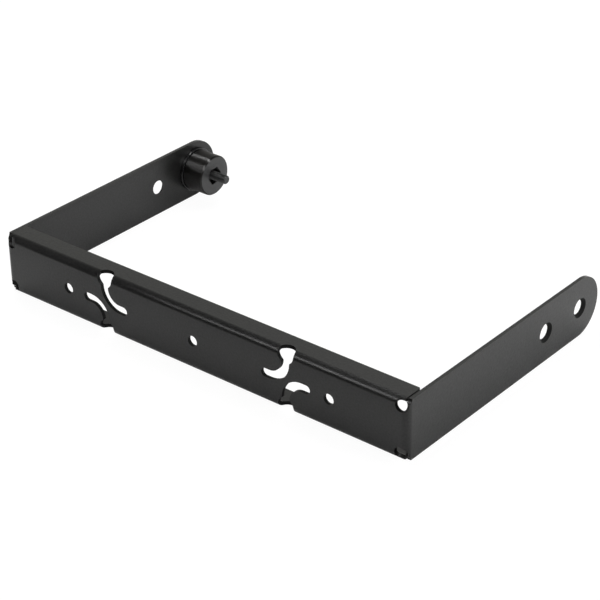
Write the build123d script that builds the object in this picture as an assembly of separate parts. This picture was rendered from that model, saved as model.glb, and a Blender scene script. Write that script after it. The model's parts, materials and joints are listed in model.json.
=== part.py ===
from build123d import *
from math import asin, cos, pi, radians, sin, sqrt, tan
import os

# Wall bracket for a small loudspeaker: one folded steel sheet with two arms, and the
# tilt pivot that plugs into the loudspeaker's pole socket on the left arm.
# Millimetres. The origin is the centre of the web's wall face. +X runs along the web,
# +Y from the wall towards the arms' tips, +Z up.

# Folded sheet
outside_width = 396.0
web_height = 50.8
flange_depth = 20.0
arm_length = 245.0
arm_width = 50.0
sheet = 3.0
bend_inner = 2.5
neutral_share = 0.44
flange_end_gap = 0.8
flange_corner_radius = 1.5

# Wall screw holes in the web
wall_hole_diameter = 9.0
wall_hole_spacing = 129.0
wall_hole_count = 3

# Hooked slots, which hang the bracket on the wall fixings from either edge
slot_offset = 89.4
slot_width = 7.3
slot_turn_radius = 15.0
slot_end_run = 4.0
entry_radius = 7.3
entry_past_fold = 1.9
entry_shoulder_radius = 1.8

# Round reliefs at the four corners of the web
relief_radius = 4.6
relief_inset = 6.3
arm_relief_inset = 0.3

# Countersunk holes in the arms
arm_hole_diameter = 12.2
countersink_diameter = 16.4
arm_hole_spacing = 47.0

# Tilt pivot
washer_diameter = 38.8
washer_thickness = 2.8
washer_edge = 0.5
boss_diameter = 35.6
boss_length = 20.2
boss_edge = 1.1
boss_foot_edge = 0.45
boss_bore = 8.6
pocket_depth = 12.0
pocket_rim = 0.3
nut_across_flats = 13.0
nut_thickness = 6.8
nut_clearance = 0.2
nut_corner_angle = 30.0
screw_diameter = 7.8
screw_head_diameter = 16.0
screw_length = 40.0
screw_tip_edge = 0.9
screw_key_across_flats = 5.0
screw_key_depth = 2.6
running_clearance = 0.07
thread_clearance = 0.05
pocket_turn = -24.0

# Sizes that follow
bend_outer = bend_inner + sheet
fold_length = pi / 2 * (bend_inner + neutral_share * sheet)
web_half_length = outside_width / 2 - bend_outer
web_half_height = web_height / 2 - bend_outer
arm_inner_x = outside_width / 2 - sheet
flange_half_length = arm_inner_x - flange_end_gap
relief_x = outside_width / 2 - relief_inset
relief_z = web_height / 2 - relief_inset
tip_radius = arm_width / 2
tip_hole_y = arm_length - tip_radius
arm_hole_ys = [tip_hole_y, tip_hole_y - arm_hole_spacing]
cone_depth = (countersink_diameter - arm_hole_diameter) / 2

# Cutting shapes: how far they stand past what they cut, and how finely and how near to
# its end a hole that wraps round a bend is followed
cut_margin = 1.0
wrap_steps = 10
wrap_end_angle = 6.0


def turned(*corners):
    """A solid turned about Z from its half section, given as (radius, height) corners."""
    return revolve(make_face(Plane.XZ * Polyline(*corners, close=True)), Axis.Z)


# Shapes that cross a fold are drawn in the fold's own frame: its origin is the bend's
# centre, X runs along the fold, -Y faces out of the web and +Z out of the folded tab.

def fold_section():
    """The quarter ring of the bend, in the YZ plane."""
    ring = Circle(bend_outer) - Circle(bend_inner)
    quarter = Pos(-bend_outer / 2, bend_outer / 2) * Rectangle(bend_outer, bend_outer)
    return Plane.YZ * (ring & quarter)


def fold_strip(low_x, high_x):
    return Pos(low_x, 0, 0) * extrude(fold_section(), high_x - low_x)


def wrapped_disc(radius, centre_past_fold, open_end=False):
    """Cutter for the part of a round hole, punched in the flat blank, that lies on the bend.

    With an open end it runs out past the hole on its +X side.
    """
    reach = min(fold_length, centre_past_fold + radius * cos(radians(wrap_end_angle)))
    first = asin(-centre_past_fold / radius)
    last = asin((reach - centre_past_fold) / radius)
    sections = []
    for step in range(wrap_steps + 1):
        turn = first + (last - first) * step / wrap_steps
        bend_angle = (centre_past_fold + radius * sin(turn)) / fold_length * pi / 2
        plane = Plane(origin=(0, 0, 0), x_dir=(1, 0, 0), z_dir=(0, sin(bend_angle), cos(bend_angle)))
        middle = (bend_inner + bend_outer) / 2
        half_chord = radius * cos(turn)
        far = radius + cut_margin if open_end else half_chord
        face = Pos((far - half_chord) / 2, -middle) * Rectangle(far + half_chord, sheet + cut_margin)
        sections.append(plane * face)
    return loft(sections)


def flange():
    """A flange with its bend, in the fold's frame."""
    strip = fold_strip(-flange_half_length, flange_half_length)
    depth = flange_depth - bend_outer
    outline = Pos(0, depth / 2) * Rectangle(2 * flange_half_length, depth)
    back_corners = outline.vertices().group_by(Axis.Y)[-1]
    outline = fillet(back_corners, flange_corner_radius)
    for side in (-1, 1):
        outline -= Pos(side * slot_offset, entry_past_fold - fold_length) * Circle(entry_radius)
    plate = Pos(0, 0, bend_inner) * extrude(outline, sheet)
    entry = wrapped_disc(entry_radius, entry_past_fold)
    for side in (-1, 1):
        strip -= Pos(side * slot_offset, 0, 0) * entry
    relief = Pos(relief_x, 0, 0) * wrapped_disc(relief_radius, relief_z - web_half_height, open_end=True)
    strip -= relief
    strip -= mirror(relief, Plane.YZ)
    return strip + plate


def arm():
    """An arm with its bend, in the fold's frame: the plate's outer face is at +Z."""
    strip = fold_strip(-tip_radius, tip_radius)
    relief = wrapped_disc(relief_radius, relief_x - web_half_length)
    for side in (-1, 1):
        strip -= Pos(side * relief_z, 0, 0) * relief
    straight = tip_hole_y - bend_outer
    outline = Pos(0, straight / 2) * Rectangle(arm_width, straight) + Pos(0, straight) * Circle(tip_radius)
    plate = Pos(0, 0, bend_inner) * extrude(outline, sheet)
    tab = strip + plate
    for side in (-1, 1):
        corner = (side * tip_radius, arm_relief_inset - bend_outer, bend_outer)
        tab -= Pos(*corner) * Cylinder(relief_radius, 2 * bend_outer)
    for y in arm_hole_ys:
        tab -= Pos(0, y - bend_outer, bend_outer) * arm_hole()
    return tab


def arm_hole():
    """Through hole with its countersink, below the plate's outer face at Z = 0."""
    through = Cylinder(arm_hole_diameter / 2, 2 * (sheet + cut_margin))
    countersink = Cone(arm_hole_diameter / 2, countersink_diameter / 2, cone_depth)
    return through + Pos(0, 0, -cone_depth / 2) * countersink


def hooked_slot():
    """The upper slot of the right-hand pair in the flat web: a round entry and a turned run."""
    entry_z = web_half_height + entry_past_fold
    turn_end_x = slot_offset - slot_turn_radius
    drop = Line((slot_offset, entry_z), (slot_offset, slot_turn_radius))
    turn = RadiusArc((slot_offset, slot_turn_radius), (turn_end_x, 0), slot_turn_radius)
    run = Line((turn_end_x, 0), (turn_end_x - slot_end_run, 0))
    slot = SlotArc(Wire([drop, turn, run]), slot_width)
    keyhole = slot + Pos(slot_offset, entry_z) * Circle(entry_radius)
    # Out and back in by one distance rounds only the two shoulders under the entry
    return offset(offset(keyhole, entry_shoulder_radius), -entry_shoulder_radius)


def web():
    """The flat web between the four folds, with its wall face at Y = 0."""
    outline = Rectangle(2 * web_half_length, 2 * web_half_height)
    middle = (wall_hole_count - 1) / 2
    for index in range(wall_hole_count):
        outline -= Pos((index - middle) * wall_hole_spacing, 0) * Circle(wall_hole_diameter / 2)
    for x_side in (-1, 1):
        for z_side in (-1, 1):
            outline -= Pos(x_side * relief_x, z_side * relief_z) * Circle(relief_radius)
    slot = hooked_slot()
    lower_slot = Pos(slot_offset, 0) * Rot(0, 0, 180) * Pos(-slot_offset, 0) * slot
    for keyhole in (slot, lower_slot):
        outline -= keyhole
        outline -= mirror(keyhole, Plane.YZ)
    return extrude(Plane.XZ * outline, -sheet)


def wall_bracket():
    """The folded sheet: web, two flanges and two arms in one piece."""
    upper = Pos(0, bend_outer, web_half_height) * flange()
    right = Pos(web_half_length, bend_outer, 0) * Rot(0, 90, 0) * arm()
    body = web() + upper + mirror(upper, Plane.XY) + right + mirror(right, Plane.YZ)
    return body.clean()


# The pivot's pieces are drawn along +Z from the left arm's inner face and then laid
# along +X on the tip hole's axis.

def on_pivot_axis(shape):
    return Pos(-arm_inner_x, tip_hole_y, 0) * Rot(0, 90, 0) * Rot(0, 0, pocket_turn) * shape


def hexagon(across_flats):
    return RegularPolygon(across_flats / 2, 6, major_radius=False)


def friction_washer():
    bore = arm_hole_diameter / 2
    rim = washer_diameter / 2
    return turned(
        (bore, 0),
        (rim, 0),
        (rim, washer_thickness - washer_edge),
        (rim - washer_edge, washer_thickness),
        (bore, washer_thickness),
    )


def pivot_boss():
    """Turned spigot that fills the loudspeaker's pole socket, with the nut's deep pocket."""
    bore = boss_bore / 2
    rim = boss_diameter / 2
    boss = turned(
        (bore, 0),
        (rim - boss_foot_edge, 0),
        (rim, boss_foot_edge),
        (rim, boss_length - boss_edge),
        (rim - boss_edge, boss_length),
        (bore, boss_length),
    )
    pocket_flats = nut_across_flats + 2 * nut_clearance
    pocket = extrude(hexagon(pocket_flats), pocket_depth + cut_margin)
    mouth = loft([
        Pos(0, 0, boss_length - pocket_rim) * hexagon(pocket_flats),
        Pos(0, 0, boss_length) * hexagon(pocket_flats + 2 * pocket_rim),
    ])
    return Pos(0, 0, washer_thickness) * (boss - Pos(0, 0, boss_length - pocket_depth) * pocket - mouth)


def pivot_nut():
    """Hex nut with its corners turned off to a cone at both ends, on the pocket's floor."""
    corner_radius = nut_across_flats / sqrt(3)
    face_radius = nut_across_flats / 2
    cone_height = (corner_radius - face_radius) * tan(radians(nut_corner_angle))
    blank = turned(
        (0, 0),
        (face_radius, 0),
        (corner_radius, cone_height),
        (corner_radius, nut_thickness - cone_height),
        (face_radius, nut_thickness),
        (0, nut_thickness),
    )
    nut = extrude(hexagon(nut_across_flats), nut_thickness) & blank
    nut -= Cylinder(screw_diameter / 2 + thread_clearance, 2 * (nut_thickness + cut_margin))
    return Pos(0, 0, washer_thickness + boss_length - pocket_depth) * nut


def pivot_screw():
    """Countersunk socket screw: its head turns in the arm's cone, its end stands free."""
    head_radius = screw_head_diameter / 2
    shank_radius = screw_diameter / 2
    head_drop = (countersink_diameter - screw_head_diameter) / 2 - running_clearance * sqrt(2)
    head_top = head_drop - sheet
    shank_top = head_top + head_radius - shank_radius
    tip = head_top + screw_length
    screw = turned(
        (0, head_top),
        (head_radius, head_top),
        (shank_radius, shank_top),
        (shank_radius, tip - screw_tip_edge),
        (shank_radius - screw_tip_edge, tip),
        (0, tip),
    )
    return screw - Pos(0, 0, head_top) * extrude(hexagon(screw_key_across_flats), screw_key_depth)


nodes = {
    "wall_bracket": wall_bracket(),
    "friction_washer": on_pivot_axis(friction_washer()),
    "pivot_boss": on_pivot_axis(pivot_boss()),
    "pivot_nut": on_pivot_axis(pivot_nut()),
    "pivot_screw": on_pivot_axis(pivot_screw()),
}

os.makedirs("parts", exist_ok=True)
for name, shape in nodes.items():
    export_step(shape, f"parts/{name}.step")
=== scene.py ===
"""The looks of a loudspeaker wall bracket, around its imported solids: metres, +Z up."""

import json
import math

import bmesh
import bpy
from mathutils import Matrix, Vector


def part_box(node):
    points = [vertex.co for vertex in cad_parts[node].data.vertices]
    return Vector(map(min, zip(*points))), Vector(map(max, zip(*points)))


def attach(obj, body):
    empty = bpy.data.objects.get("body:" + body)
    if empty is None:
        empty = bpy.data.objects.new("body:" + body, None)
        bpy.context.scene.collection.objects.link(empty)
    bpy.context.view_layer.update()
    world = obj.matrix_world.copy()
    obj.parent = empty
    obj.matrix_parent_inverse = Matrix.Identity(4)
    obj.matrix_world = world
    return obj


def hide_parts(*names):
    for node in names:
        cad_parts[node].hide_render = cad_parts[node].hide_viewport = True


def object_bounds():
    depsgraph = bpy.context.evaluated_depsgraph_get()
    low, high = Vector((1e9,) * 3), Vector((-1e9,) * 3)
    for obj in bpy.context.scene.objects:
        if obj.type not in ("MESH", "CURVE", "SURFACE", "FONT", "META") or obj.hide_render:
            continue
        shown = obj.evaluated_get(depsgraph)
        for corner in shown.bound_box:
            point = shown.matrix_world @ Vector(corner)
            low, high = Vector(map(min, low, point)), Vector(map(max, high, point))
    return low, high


MM = 0.001

# Camera, as solved from the photograph's straight edges
CAMERA_PLACE = Vector((0.8556, -0.9109, 0.7428))
CAMERA_YAW = math.radians(39.5327)
CAMERA_PITCH = math.radians(29.6042)
CAMERA_ROLL = math.radians(0.5609)
SENSOR_WIDTH_MM = 36.0
LENS_MM = 117.56

# Rounding of the edges, and the angle above which an edge counts as one
SHEET_EDGE = 0.35 * MM
TURNED_EDGE = 0.12 * MM
EDGE_STEPS = 3
EDGE_ANGLE = math.radians(28)
WELD = 0.001 * MM
FLAT_ANGLE = math.radians(0.3)

# The sheet's bends and openings, whose walls get a darker coat as painted shade
BEND_OUTER = 5.5 * MM
HOLE_REACH = 8.4 * MM
SECOND_HOLE_Y = 173.0 * MM
FLANGE_BACK = 19.0 * MM
OUTLINE_HEIGHT = 24.3 * MM
ALONG_SHEET = 0.35
FACING = 0.9

# The arms' round tips, and the points added on each edge of their arcs
TIP_RADIUS = 25.0 * MM
TIP_CUTS = 2

# Turned pieces: points round the pivot's axis, in multiples of a hexagon's corners
HEX_SIDES = 6
TURN_POINTS = HEX_SIDES * 28
SCREW_POINTS = HEX_SIDES * 12

# The washer, the boss and the nut in its pocket, whose corners a cone cuts off in steps
WASHER_BORE = 6.1 * MM
WASHER_EDGE = 0.5 * MM
BOSS_BORE = 4.3 * MM
BOSS_FRONT_EDGE = 1.1 * MM
BOSS_FOOT_EDGE = 0.45 * MM
POCKET_DEPTH = 12.0 * MM
POCKET_RIM = 0.3 * MM
POCKET_FLAT = 6.7 * MM
NUT_BORE = 3.95 * MM
NUT_CORNER_SLOPE = math.tan(math.radians(30))
NUT_CORNER_SHARES = (0, 0.25, 0.5, 0.75, 1)

# The screw: a metric coarse thread of 8 mm, whose crest is about a seventh of the pitch wide
THREAD_PITCH = 1.25 * MM
THREAD_DEPTH = 0.68 * MM
THREAD_STEPS = 16
CREST_SHARE = 0.14
ROOT_SHARE = 0.22
SHANK_RADIUS = 3.9 * MM
TIP_EDGE = 0.9 * MM
KEY_FLAT = 2.5 * MM
KEY_DEPTH = 2.6 * MM

# Most of a noise texture's values lie between these
NOISE_LOW = 0.3
NOISE_HIGH = 0.7

# Turning marks run round the axis, so their highlights stretch at right angles to that
TURNING_STRETCH = 1.0
QUARTER_TURN = 0.25
PLAIN_IOR = 1.5

# The floor, as it lights the object and as the camera sees it
FLOOR_REACH = 6
FLOOR_TONE = 0.88
FLOOR_GLOW = 0.27
SEEN_FLOOR_TONE = 0.10
SEEN_GLOW = 0.95

# The room: its pale wall, by the direction across the floor and by the height
BLACK = (0.0, 0.0, 0.0)
WHITE = (1.0, 1.0, 1.0)
ROOM_TONE = (0.03, 0.03, 0.03)
SEEN_TONE = (0.95, 0.95, 0.95)
WALL_TONE = (0.68, 0.68, 0.68)
WALL_TINT = (1.0, 1.0, 0.95)
WALL_DIRECTION = (-0.62, 0.78, 0.0)
WALL_SIDES = ((0.1, BLACK), (0.45, WALL_TONE))
WALL_TOP = ((0.56, WHITE), (0.68, BLACK))

# The dark card: where it stands, and its upper edge as (x, z) points
FLAG_TONE = (0.02, 0.02, 0.02)
FLAG_Y = -0.075
FLAG_TOP = ((0.35, 0.05), (-0.06, 0.05), (-0.17, 0.13), (-0.30, 0.13))

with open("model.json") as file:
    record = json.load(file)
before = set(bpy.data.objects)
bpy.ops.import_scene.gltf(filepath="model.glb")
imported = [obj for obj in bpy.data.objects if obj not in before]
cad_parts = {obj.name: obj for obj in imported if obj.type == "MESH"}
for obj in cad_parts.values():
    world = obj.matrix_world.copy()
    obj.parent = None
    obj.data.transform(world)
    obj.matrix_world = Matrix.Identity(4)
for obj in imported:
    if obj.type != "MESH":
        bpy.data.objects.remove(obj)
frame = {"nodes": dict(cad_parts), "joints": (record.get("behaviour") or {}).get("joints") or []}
cad_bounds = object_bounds()
FLOOR_Z = cad_bounds[0].z
OUTER_CORNER = cad_bounds[1]
nodes = frame["nodes"]
hinge = next(joint for joint in frame["joints"] if joint["name"] == "tilt_pivot")
_, AXIS_Y, AXIS_Z = hinge["pos_m"]


def angle_about_axis(point):
    """A point's angle about the pivot, from +Y towards +Z."""
    return math.atan2(point[2] - AXIS_Z, point[1] - AXIS_Y)


def reach_from_axis(point):
    return math.hypot(point[1] - AXIS_Y, point[2] - AXIS_Z)


def node_span(node):
    """Where a turned node starts and ends along X, and its radius."""
    low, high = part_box(node)
    return low.x, high.x, (high.y - low.y) / 2


def farthest_corner_angle(node):
    """The angle at which a hexagonal node has a corner."""
    corner = max((vertex.co for vertex in nodes[node].data.vertices), key=reach_from_axis)
    return angle_about_axis(corner)


HEX_CORNER = farthest_corner_angle("pivot_nut")


# Shapes

def hexagon(flat_radius):
    """The hexagon's radius as a function of the angle, with the nut's corners."""
    sector = 2 * math.pi / HEX_SIDES

    def radius(angle):
        return flat_radius / math.cos((angle - HEX_CORNER) % sector - sector / 2)

    return radius


def mesh_piece(name, bm):
    """An object with the bmesh's faces, and their normals outward."""
    bmesh.ops.recalc_face_normals(bm, faces=bm.faces)
    mesh = bpy.data.meshes.new(name)
    bm.to_mesh(mesh)
    bm.free()
    piece = bpy.data.objects.new(name, mesh)
    bpy.context.scene.collection.objects.link(piece)
    return piece


def turned_ring(bm, x, radius, points):
    """A ring of vertices about the pivot's axis. The radius may be a function of the angle."""
    ring = []
    for index in range(points):
        angle = HEX_CORNER + 2 * math.pi * index / points
        reach = radius(angle) if callable(radius) else radius
        place = (x, AXIS_Y + reach * math.cos(angle), AXIS_Z + reach * math.sin(angle))
        ring.append(bm.verts.new(place))
    return ring


def turned_piece(name, profile, points, looped):
    """A piece turned about the pivot's axis. The profile is a list of (x, radius). A looped
    profile closes on itself round a bore."""
    bm = bmesh.new()
    rings = [turned_ring(bm, x, radius, points) for x, radius in profile]
    pairs = list(zip(rings, rings[1:]))
    if looped:
        pairs.append((rings[-1], rings[0]))
    for near, far in pairs:
        for index in range(points):
            after = (index + 1) % points
            bm.faces.new((near[index], near[after], far[after], far[index]))
    if not looped:
        bm.faces.new(rings[0])
        bm.faces.new(rings[-1])
    return mesh_piece(name, bm)


def smooth(piece):
    """Shades a piece smooth between its edges."""
    mesh = piece.data
    mesh.shade_smooth()
    mesh.set_sharp_from_angle(angle=EDGE_ANGLE)
    weighted = piece.modifiers.new("normals", "WEIGHTED_NORMAL")
    weighted.keep_sharp = True
    return piece


def rounded(piece, width):
    """Rounds a piece's edges, and shades it smooth between them."""
    bevel = piece.modifiers.new("edges", "BEVEL")
    bevel.width = width
    bevel.segments = EDGE_STEPS
    bevel.limit_method = "ANGLE"
    bevel.angle_limit = EDGE_ANGLE
    bevel.miter_outer = "MITER_ARC"
    bevel.use_clamp_overlap = True
    graph = bpy.context.evaluated_depsgraph_get()
    mesh = bpy.data.meshes.new_from_object(piece.evaluated_get(graph))
    piece.modifiers.clear()
    piece.data = mesh
    return smooth(piece)


def finer_tips(bm):
    """Divides the edges of the arms' round tips, and sets the new points on the same arc."""

    def on_arc(vertex):
        return vertex.co.y > AXIS_Y - WELD and abs(reach_from_axis(vertex.co) - TIP_RADIUS) < WELD

    arcs = [edge for edge in bm.edges if all(map(on_arc, edge.verts))
            and abs(edge.verts[0].co.x - edge.verts[1].co.x) < WELD]
    made = bmesh.ops.subdivide_edges(bm, edges=arcs, cuts=TIP_CUTS)
    for vertex in (item for item in made["geom_inner"] if isinstance(item, bmesh.types.BMVert)):
        out = TIP_RADIUS / reach_from_axis(vertex.co)
        vertex.co.y = AXIS_Y + (vertex.co.y - AXIS_Y) * out
        vertex.co.z = AXIS_Z + (vertex.co.z - AXIS_Z) * out


def folded_sheet():
    """The folded sheet with the soft edges that a powder coat gives it."""
    bm = bmesh.new()
    bm.from_mesh(nodes["wall_bracket"].data)
    bmesh.ops.remove_doubles(bm, verts=bm.verts, dist=WELD)
    bmesh.ops.dissolve_limit(bm, angle_limit=FLAT_ANGLE, verts=bm.verts, edges=bm.edges)
    finer_tips(bm)
    return rounded(mesh_piece("folded_sheet", bm), SHEET_EDGE)


def past_core(value, corner):
    """How far a place lies past the core of the sheet, within the bends' radius, with its sign."""
    return math.copysign(max(abs(value) - corner + BEND_OUTER, 0), value)


# The faces this picks take the darker coat: painted shade in the openings.
def opening_wall(face):
    """Whether a face of the sheet is the wall of a hole, slot or relief. The sheet lies within
    its bends' radius of a core, and a wall stands at right angles to the way out from that."""
    place, facing = face.center, face.normal
    y, z = place.y, abs(place.z)
    if abs(place.x) > OUTER_CORNER.x - BEND_OUTER and y > BEND_OUTER:
        in_hole = any(math.hypot(y - hole, z) < HOLE_REACH for hole in (AXIS_Y, SECOND_HOLE_Y))
        return in_hole and abs(facing.x) < FACING
    out = Vector((past_core(place.x, OUTER_CORNER.x), min(y - BEND_OUTER, 0),
                  past_core(place.z, OUTER_CORNER.z)))
    on_outline = y > FLANGE_BACK or (z > OUTLINE_HEIGHT and abs(facing.z) > FACING)
    return abs(facing.dot(out.normalized())) < ALONG_SHEET and not on_outline


def washer_ring():
    start, end, rim = node_span("friction_washer")
    profile = [(start, WASHER_BORE), (start, rim), (end, rim), (end, WASHER_BORE)]
    return rounded(turned_piece("washer_ring", profile, TURN_POINTS, looped=True), WASHER_EDGE)


def turned_boss():
    start, end, rim = node_span("pivot_boss")
    profile = [
        (start, BOSS_BORE),
        (start, rim - BOSS_FOOT_EDGE),
        (start + BOSS_FOOT_EDGE, rim),
        (end - BOSS_FRONT_EDGE, rim),
        (end, rim - BOSS_FRONT_EDGE),
        (end, hexagon(POCKET_FLAT + POCKET_RIM)),
        (end - POCKET_RIM, hexagon(POCKET_FLAT)),
        (end - POCKET_DEPTH, hexagon(POCKET_FLAT)),
        (end - POCKET_DEPTH, BOSS_BORE),
    ]
    return rounded(turned_piece("turned_boss", profile, TURN_POINTS, looped=True), TURNED_EDGE)


def pocket_nut():
    start, end, _ = node_span("pivot_nut")
    reaches = [reach_from_axis(vertex.co) for vertex in nodes["pivot_nut"].data.vertices]
    flat = min(reach for reach in reaches if reach > (NUT_BORE + POCKET_FLAT) / 2)
    side = hexagon(flat)

    def under_cone(depth):
        return lambda angle: min(side(angle), flat + depth / NUT_CORNER_SLOPE)

    corner_depth = (side(HEX_CORNER) - flat) * NUT_CORNER_SLOPE
    steps = [corner_depth * share for share in NUT_CORNER_SHARES]
    profile = [(start, NUT_BORE)]
    profile += [(start + depth, under_cone(depth)) for depth in steps]
    profile += [(end - depth, under_cone(depth)) for depth in reversed(steps)]
    profile.append((end, NUT_BORE))
    return rounded(turned_piece("pocket_nut", profile, TURN_POINTS, looped=True), TURNED_EDGE)


def thread_radius(x, tip):
    """The thread's radius at a place along the screw, as a function of the angle."""
    flank = (1 - CREST_SHARE - ROOT_SHARE) / 2

    def radius(angle):
        turn = (x / THREAD_PITCH - angle / (2 * math.pi)) % 1
        from_crest = min(max(turn - CREST_SHARE, 0), flank) / flank
        to_crest = max(turn - (1 - flank), 0) / flank
        thread = SHANK_RADIUS - THREAD_DEPTH * (from_crest - to_crest)
        return min(thread, SHANK_RADIUS - TIP_EDGE + (tip - x))

    return radius


def socket_screw():
    """The countersunk head with its key hole, the shank, and the thread from the nut on."""
    start, tip, head = node_span("pivot_screw")
    _, nut_front, _ = node_span("pivot_nut")
    step = THREAD_PITCH / THREAD_STEPS
    count = int((tip - nut_front) / step)
    profile = [
        (start + KEY_DEPTH, hexagon(KEY_FLAT)),
        (start, hexagon(KEY_FLAT)),
        (start, head),
        (start + head - SHANK_RADIUS, SHANK_RADIUS),
        (tip - count * step, SHANK_RADIUS),
    ]
    for index in range(1, count + 1):
        x = tip - (count - index) * step
        profile.append((x, thread_radius(x, tip)))
    return smooth(turned_piece("socket_screw", profile, SCREW_POINTS, looped=False))


# Nodes

def new_material(name):
    """A node material, its node tree and its shader."""
    material = bpy.data.materials.new(name)
    material.use_nodes = True
    tree = material.node_tree
    return material, tree, tree.nodes["Principled BSDF"]


def object_place(tree):
    return tree.nodes.new("ShaderNodeTexCoord").outputs["Object"]


def vector_node(tree, operation, vector, by=None):
    """A node of vector arithmetic, whose second vector is fixed, linked or left out."""
    step = tree.nodes.new("ShaderNodeVectorMath")
    step.operation = operation
    tree.links.new(vector, step.inputs[0])
    if isinstance(by, bpy.types.NodeSocket):
        tree.links.new(by, step.inputs[1])
    elif by:
        step.inputs[1].default_value = by
    return step


def vector_step(tree, operation, vector, by):
    return vector_node(tree, operation, vector, by).outputs["Vector"]


def noise(tree, place, scale, detail):
    texture = tree.nodes.new("ShaderNodeTexNoise")
    texture.inputs["Scale"].default_value = scale
    texture.inputs["Detail"].default_value = detail
    tree.links.new(place, texture.inputs["Vector"])
    return texture.outputs["Fac"]


def turned_place(tree):
    """Where a point is on a turned piece: along the pivot's axis, and out from it."""
    from_axis = vector_step(tree, "SUBTRACT", object_place(tree), (0, AXIS_Y, AXIS_Z))
    outward = vector_node(tree, "LENGTH", vector_step(tree, "MULTIPLY", from_axis, (0, 1, 1)))
    along = tree.nodes.new("ShaderNodeSeparateXYZ")
    tree.links.new(from_axis, along.inputs["Vector"])
    place = tree.nodes.new("ShaderNodeCombineXYZ")
    tree.links.new(along.outputs["X"], place.inputs["X"])
    tree.links.new(outward.outputs["Value"], place.inputs["Y"])
    return place.outputs["Vector"]


def spread(tree, value, low, high):
    """Turns noise into a value from low to high."""
    reach = tree.nodes.new("ShaderNodeMapRange")
    reach.inputs["From Min"].default_value = NOISE_LOW
    reach.inputs["From Max"].default_value = NOISE_HIGH
    reach.inputs["To Min"].default_value = low
    reach.inputs["To Max"].default_value = high
    tree.links.new(value, reach.inputs["Value"])
    return reach.outputs["Result"]


def colour_ramp(tree, value, stops):
    """A colour that follows a value between two stops, each a place and its colour."""
    ramp = tree.nodes.new("ShaderNodeValToRGB")
    for element, (place, colour) in zip(ramp.color_ramp.elements, stops):
        element.position = place
        element.color = (*colour, 1)
    tree.links.new(value, ramp.inputs["Fac"])
    return ramp.outputs["Color"]


def bumped(tree, shader, height, strength, depth):
    bump = tree.nodes.new("ShaderNodeBump")
    bump.inputs["Strength"].default_value = strength
    bump.inputs["Distance"].default_value = depth
    tree.links.new(height, bump.inputs["Height"])
    tree.links.new(bump.outputs["Normal"], shader.inputs["Normal"])


def by_camera(tree, unseen, seen):
    """One number for the light that a surface gives, and another where the camera sees it."""
    choice = tree.nodes.new("ShaderNodeMapRange")
    choice.inputs["To Min"].default_value = unseen
    choice.inputs["To Max"].default_value = seen
    path = tree.nodes.new("ShaderNodeLightPath")
    tree.links.new(path.outputs["Is Camera Ray"], choice.inputs["Value"])
    return choice.outputs["Result"]


# Materials

def all_over(scale, detail):
    return lambda tree: noise(tree, object_place(tree), scale, detail)


def in_rings(scale, detail):
    """Noise that is the same all the way round the pivot, as a lathe leaves it."""
    return lambda tree: noise(tree, turned_place(tree), scale, detail)


def finish_of(name, cloud, dark, light, haze, roughness, grain, strength, depth, ior=PLAIN_IOR):
    """A material of two colours, a low and a high roughness, and a bump. Its three noises
    spread them: cloud the colours, haze the roughness, and grain the bump."""
    material, tree, shader = new_material(name)
    stops = ((NOISE_LOW, dark), (NOISE_HIGH, light))
    tree.links.new(colour_ramp(tree, cloud(tree), stops), shader.inputs["Base Color"])
    tree.links.new(spread(tree, haze(tree), *roughness), shader.inputs["Roughness"])
    bumped(tree, shader, grain(tree), strength, depth)
    shader.inputs["IOR"].default_value = ior
    return material


def powder_coat():
    """Charcoal powder coat: fine orange peel, slightly uneven in gloss and tone."""
    return finish_of(
        "powder_coat_look",
        cloud=all_over(scale=620, detail=3),
        dark=(0.0050, 0.0050, 0.0049), light=(0.0130, 0.0130, 0.0126),
        haze=all_over(scale=700, detail=3), roughness=(0.28, 0.40),
        grain=all_over(scale=520, detail=4), strength=0.55, depth=0.12 * MM, ior=1.4)


def painted_shade_coat():
    """The same coat inside the openings, rougher, and darker: painted shade in the holes, slots
    and reliefs.
    """
    return finish_of(
        "thin_coat_look",
        cloud=all_over(scale=40, detail=3),
        dark=(0.0035, 0.0035, 0.0034), light=(0.0055, 0.0055, 0.0053),
        haze=all_over(scale=1200, detail=3), roughness=(0.45, 0.60),
        grain=all_over(scale=2400, detail=3), strength=0.40, depth=0.04 * MM, ior=1.22)


def turned_gloss():
    """The boss's side: black plating over the fine rings of its turning, which stretch what it
    mirrors along the axis."""
    material = finish_of(
        "black_gloss_look",
        cloud=in_rings(scale=900, detail=3),
        dark=(0.0085, 0.0081, 0.0076), light=(0.0115, 0.0110, 0.0103),
        haze=in_rings(scale=2200, detail=3), roughness=(0.35, 0.42),
        grain=in_rings(scale=5200, detail=2), strength=0.15, depth=0.006 * MM, ior=1.33)
    tree = material.node_tree
    shader = tree.nodes["Principled BSDF"]
    round_axis = tree.nodes.new("ShaderNodeTangent")
    round_axis.direction_type = "RADIAL"
    round_axis.axis = "X"
    tree.links.new(round_axis.outputs["Tangent"], shader.inputs["Tangent"])
    shader.inputs["Anisotropic"].default_value = TURNING_STRETCH
    shader.inputs["Anisotropic Rotation"].default_value = QUARTER_TURN
    return material


def faced_satin():
    """The boss's end: the same plating over a coarser, faced surface."""
    return finish_of(
        "black_satin_look",
        cloud=in_rings(scale=700, detail=4),
        dark=(0.017, 0.0172, 0.0176), light=(0.023, 0.0232, 0.0238),
        haze=in_rings(scale=2600, detail=3), roughness=(0.42, 0.52),
        grain=in_rings(scale=3800, detail=3), strength=0.35, depth=0.02 * MM)


def black_oxide():
    """The screw and the nut: black oxide, a little cloudy."""
    return finish_of(
        "black_steel_look",
        cloud=all_over(scale=900, detail=3),
        dark=(0.007, 0.0074, 0.0072), light=(0.013, 0.0134, 0.0132),
        haze=all_over(scale=1800, detail=3), roughness=(0.30, 0.42),
        grain=all_over(scale=4200, detail=3), strength=0.25, depth=0.01 * MM, ior=1.45)


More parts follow.
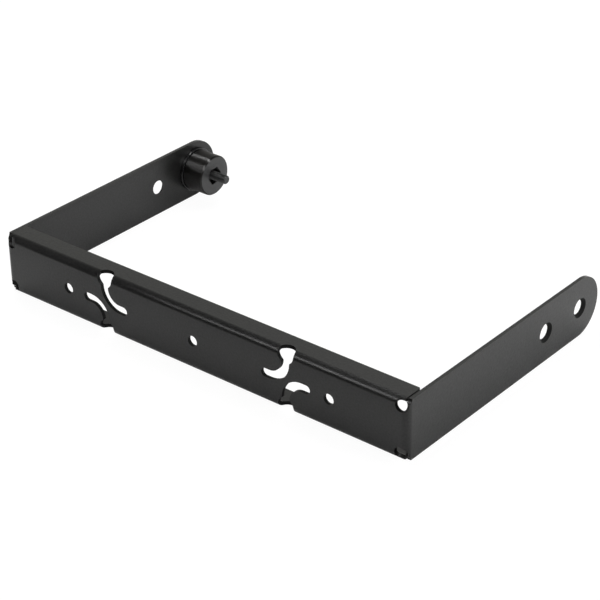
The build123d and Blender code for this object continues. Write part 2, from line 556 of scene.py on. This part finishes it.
def washer_plastic():
    """The washer: smooth black plastic with faint rings in its gloss."""
    return finish_of(
        "washer_plastic_look",
        cloud=all_over(scale=500, detail=3),
        dark=(0.008, 0.008, 0.0084), light=(0.012, 0.012, 0.0125),
        haze=in_rings(scale=1600, detail=3), roughness=(0.18, 0.26),
        grain=all_over(scale=2400, detail=3), strength=0.20, depth=0.01 * MM)


def matt_material(name):
    """A material that mirrors nothing, its node tree and its shader."""
    material, tree, shader = new_material(name)
    shader.inputs["Roughness"].default_value = 1
    shader.inputs["Specular IOR Level"].default_value = 0
    return material, tree, shader


# Studio

def camera():
    data = bpy.data.cameras.new("camera")
    data.sensor_fit = "HORIZONTAL"
    data.sensor_width = SENSOR_WIDTH_MM
    data.lens = LENS_MM
    view = bpy.data.objects.new("camera", data)
    turn = Matrix.Rotation(CAMERA_YAW, 4, "Z")
    tilt = Matrix.Rotation(math.pi / 2 - CAMERA_PITCH, 4, "X")
    roll = Matrix.Rotation(-CAMERA_ROLL, 4, "Z")
    view.matrix_world = Matrix.Translation(CAMERA_PLACE) @ (turn @ tilt) @ roll
    bpy.context.scene.collection.objects.link(view)
    bpy.context.scene.camera = view


def pale_floor():
    """A pale floor that glows a little of itself. Where the camera sees it, it is a just white
    glow, so that its shadows stay faint and the object's edges crisp."""
    bm = bmesh.new()
    bmesh.ops.create_grid(bm, x_segments=1, y_segments=1, size=FLOOR_REACH)
    floor = mesh_piece("floor", bm)
    floor.location.z = FLOOR_Z
    material, tree, shader = matt_material("floor_look")
    shader.inputs["Emission Color"].default_value = (*WHITE, 1)
    tree.links.new(by_camera(tree, FLOOR_TONE, SEEN_FLOOR_TONE), shader.inputs["Base Color"])
    tree.links.new(by_camera(tree, FLOOR_GLOW, SEEN_GLOW), shader.inputs["Emission Strength"])
    floor.data.materials.append(material)


def dark_flag():
    """A dark card that stands in front of the web and shows only in its reflections."""
    bm = bmesh.new()
    top = [bm.verts.new((x, FLAG_Y, z)) for x, z in FLAG_TOP]
    foot = [bm.verts.new((x, FLAG_Y, FLOOR_Z)) for x, _ in reversed(FLAG_TOP)]
    bm.faces.new(top + foot)
    flag = mesh_piece("dark_flag", bm)
    material, _, shader = matt_material("flag_look")
    shader.inputs["Base Color"].default_value = (*FLAG_TONE, 1)
    flag.data.materials.append(material)
    flag.visible_camera = False
    flag.visible_diffuse = False
    flag.visible_shadow = False


def room_light(tree):
    """The colour of the room in each direction: a pale wall behind the object, up to a certain
    height, and dark elsewhere."""
    direction = tree.nodes.new("ShaderNodeTexCoord").outputs["Generated"]
    facing = vector_node(tree, "DOT_PRODUCT", direction, WALL_DIRECTION)
    height = tree.nodes.new("ShaderNodeSeparateXYZ")
    tree.links.new(direction, height.inputs["Vector"])
    sides = colour_ramp(tree, facing.outputs["Value"], WALL_SIDES)
    top = colour_ramp(tree, height.outputs["Z"], WALL_TOP)
    wall = vector_step(tree, "MULTIPLY", vector_step(tree, "MULTIPLY", sides, top), WALL_TINT)
    return vector_step(tree, "ADD", wall, ROOM_TONE)


def studio_world():
    """The room as it lights the object, and a pale tone where the camera sees past the floor."""
    world = bpy.data.worlds.new("studio")
    world.use_nodes = True
    bpy.context.scene.world = world
    tree = world.node_tree
    room = tree.nodes["Background"]
    tree.links.new(room_light(tree), room.inputs["Color"])
    seen = tree.nodes.new("ShaderNodeBackground")
    seen.inputs["Color"].default_value = (*SEEN_TONE, 1)
    mix = tree.nodes.new("ShaderNodeMixShader")
    path = tree.nodes.new("ShaderNodeLightPath")
    tree.links.new(path.outputs["Is Camera Ray"], mix.inputs["Fac"])
    tree.links.new(room.outputs["Background"], mix.inputs[1])
    tree.links.new(seen.outputs["Background"], mix.inputs[2])
    tree.links.new(mix.outputs["Shader"], tree.nodes["World Output"].inputs["Surface"])


def area_light(name, place, aim, size, radiance, diffuse=True, glossy=True):
    """A softbox that the camera itself doesn't see. One that isn't glossy lights the floor and
    the colours, and shows in no reflection. One that isn't diffuse shows in reflections alone."""
    width, height = size
    light = bpy.data.lights.new(name, "AREA")
    light.shape = "RECTANGLE"
    light.size, light.size_y = size
    light.energy = radiance * math.pi * width * height
    lamp = bpy.data.objects.new(name, light)
    lamp.location = place
    lamp.rotation_euler = (Vector(aim) - Vector(place)).to_track_quat("-Z", "Y").to_euler()
    lamp.visible_camera = False
    lamp.visible_diffuse = diffuse
    lamp.visible_glossy = glossy
    bpy.context.scene.collection.objects.link(lamp)


def softboxes():
    """Two that light the object, one that the bend mirrors, and two that the boss mirrors."""
    area_light("overhead_softbox", place=(-0.7, 0.9, 1.9), aim=(0, 0.1, 0),
               size=(1.8, 1.8), radiance=4.25, glossy=False)
    area_light("side_softbox", place=(1.05, 0.55, 0.45), aim=(0.25, 0.15, -0.02),
               size=(0.9, 0.35), radiance=7.5, glossy=False)
    area_light("bend_softbox", place=(-0.63, -1.07, 0.72), aim=(0.15, 0, 0.02),
               size=(0.34, 0.44), radiance=10.3)
    area_light("boss_softbox", place=(0.52, -0.50, 0.90), aim=(0.52, 0.22, 0),
               size=(0.7, 0.50), radiance=27.0, diffuse=False)
    area_light("boss_strip", place=(0.3, 0.451, 1.178), aim=(0.3, 0.22, 0),
               size=(0.9, 0.13), radiance=75.0, diffuse=False)


# The dressed object

def dress(piece, node, body, slot, *materials):
    """Puts a piece in its node's place, on its body, in its finish."""
    piece.data.materials.clear()
    for material in materials:
        piece.data.materials.append(material)
    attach(piece, body)
    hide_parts(node)


def second_material(piece, chosen):
    """Gives a piece's second material to the faces that are chosen."""
    for face in piece.data.polygons:
        if chosen(face):
            face.material_index = 1


def dressed_sheet():
    sheet = folded_sheet()
    dress(sheet, "wall_bracket", "bracket", "powder_coat", powder_coat(), painted_shade_coat())
    # The openings' walls take the darker coat: painted shade in the holes, slots and reliefs.
    second_material(sheet, opening_wall)


def dressed_pivot():
    dress(washer_ring(), "friction_washer", "pivot", "washer_plastic", washer_plastic())
    boss = turned_boss()
    dress(boss, "pivot_boss", "pivot", "black_gloss", turned_gloss(), faced_satin())
    _, boss_end, _ = node_span("pivot_boss")
    second_material(boss, lambda face: face.center.x > boss_end - WELD)
    steel = black_oxide()
    dress(pocket_nut(), "pivot_nut", "pivot", "black_steel", steel)
    dress(socket_screw(), "pivot_screw", "pivot", "black_steel", steel)


camera()
pale_floor()
dark_flag()
studio_world()
softboxes()
dressed_sheet()
dressed_pivot()
bpy.context.scene.view_settings.view_transform = "Standard"
